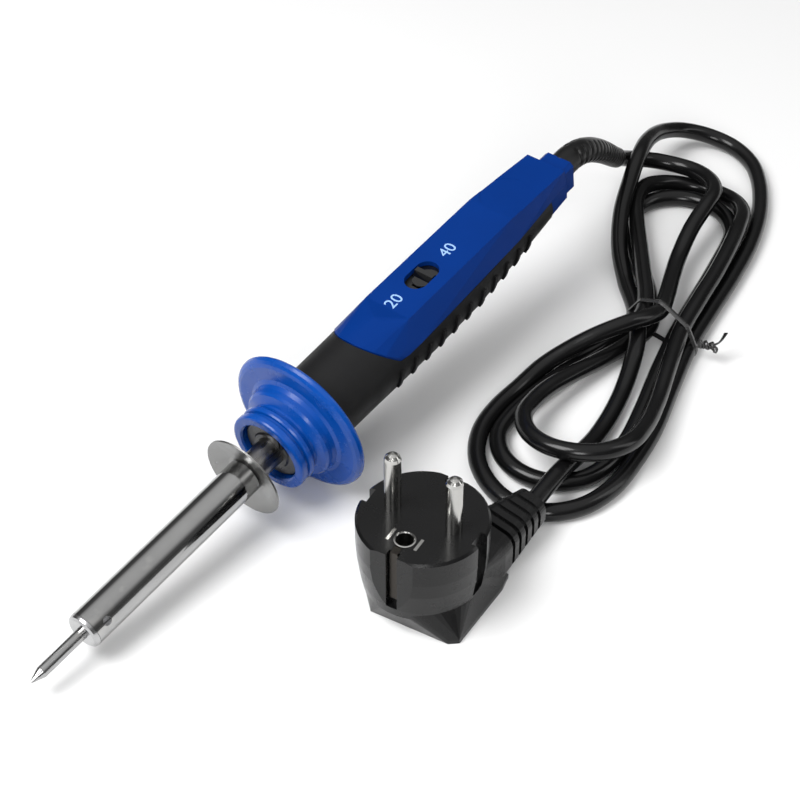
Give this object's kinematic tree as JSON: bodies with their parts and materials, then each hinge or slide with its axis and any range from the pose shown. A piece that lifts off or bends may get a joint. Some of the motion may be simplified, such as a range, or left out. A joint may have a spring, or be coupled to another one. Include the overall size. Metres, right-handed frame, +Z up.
{
  "type": "electric soldering iron",
  "caption": "Pencil soldering iron with a slide power switch, a round guard flange, a rubber grip and a hank of mains lead that ends in an earthed angled plug.",
  "frame": {"origin": "On the bench, under the middle of the iron's length and on its plane of symmetry. The lead and plug lie on the same bench and are not counted in it.", "axes": "+X runs along the iron from the tip to the handle, seen from above. +Z is up, out of the bench. The iron rests on its guard flange with its nose 8 degrees down and its switch on top. The hank of lead lies on the -Y side of the iron."},
  "size_m": [0.3347, 0.1005, 0.049],
  "materials": {
    "tip_plating": "iron-plated copper rod, bright",
    "screw_steel": "zinc-plated steel",
    "black_screw": "black oxide steel",
    "bush_steel": "turned stainless steel",
    "barrel_chrome": "bright polished tube",
    "heater_ceramic": "fired ceramic",
    "resistance_wire": "nickel-chrome wire",
    "mica": "mica sheet",
    "shield_steel": "thin pressed steel",
    "neck_steel": "drawn steel tube",
    "phenolic_black": "phenolic moulding",
    "blue_gloss": "glossy blue plastic",
    "blue_satin": "satin blue plastic with fine texture",
    "grip_rubber": "soft grip rubber",
    "switch_black": "moulded",
    "slider_black": "moulded, glossy",
    "contact_brass": "stamped",
    "diode_black": "epoxy body",
    "glass_braid": "woven glass sleeve",
    "wire_brown": "PVC insulation",
    "wire_blue": "PVC insulation",
    "wire_green_yellow": "PVC insulation",
    "cord_pvc": "glossy black PVC sheath",
    "boot_rubber": "moulded",
    "tie_plastic": "flat tie with a steel wire core",
    "plug_pvc": "moulded PVC",
    "insert_black": "moulded insert",
    "pin_nickel": "nickel-plated brass",
    "strip_nickel": "nickel-plated strip"
  },
  "bodies": {
    "iron": {"tip_bush": "bush_steel", "barrel_tube": "barrel_chrome", "heater_core": "heater_ceramic", "heater_winding": "resistance_wire", "mica_sleeve": "mica", "heat_shield": "shield_steel", "neck_tube": "neck_steel", "heater_base": "phenolic_black", "base_screws": "black_screw", "guard_flange": "blue_gloss", "lower_shell": "blue_satin", "top_cover": "blue_satin", "grip_sleeve": "grip_rubber", "handle_screws": "screw_steel", "switch_housing": "switch_black", "switch_terminals": "contact_brass", "power_diode": "diode_black", "heater_leads": "glass_braid", "live_wire": "wire_brown", "neutral_wire": "wire_blue", "earth_wire": "wire_green_yellow", "cord_clamp": "switch_black", "clamp_screws": "screw_steel", "lead_sheath_end": "cord_pvc", "strain_relief_boot": "boot_rubber", "cord_lead": "cord_pvc", "cord_hank": "cord_pvc", "cord_tail": "cord_pvc", "cord_tie": "tie_plastic", "plug_body": "plug_pvc", "plug_insert": "insert_black", "plug_pins": "pin_nickel", "earth_socket": "pin_nickel", "earth_strip": "strip_nickel"},
    "tip": {"soldering_tip": "tip_plating"},
    "tip_screw": {"tip_set_screw": "screw_steel"},
    "switch": {"switch_slider": "slider_black", "switch_wiper": "contact_brass"}
  },
  "joints": [
    {"name": "tip_draw", "type": "slide", "parent": "iron", "child": "tip", "axis": [-0.9903, 0, -0.1392], "range_m": [0, 0.024]},
    {"name": "tip_screw_turn", "type": "hinge", "parent": "iron", "child": "tip_screw", "pos_m": [-0.09394, 0, 0.01139], "axis": [-0.0696, -0.866, 0.4951], "range_deg": [0, 720]},
    {"name": "power_switch", "type": "slide", "parent": "iron", "child": "switch", "axis": [0.9903, 0, 0.1392], "range_m": [-0.003, 0]}
  ]
}
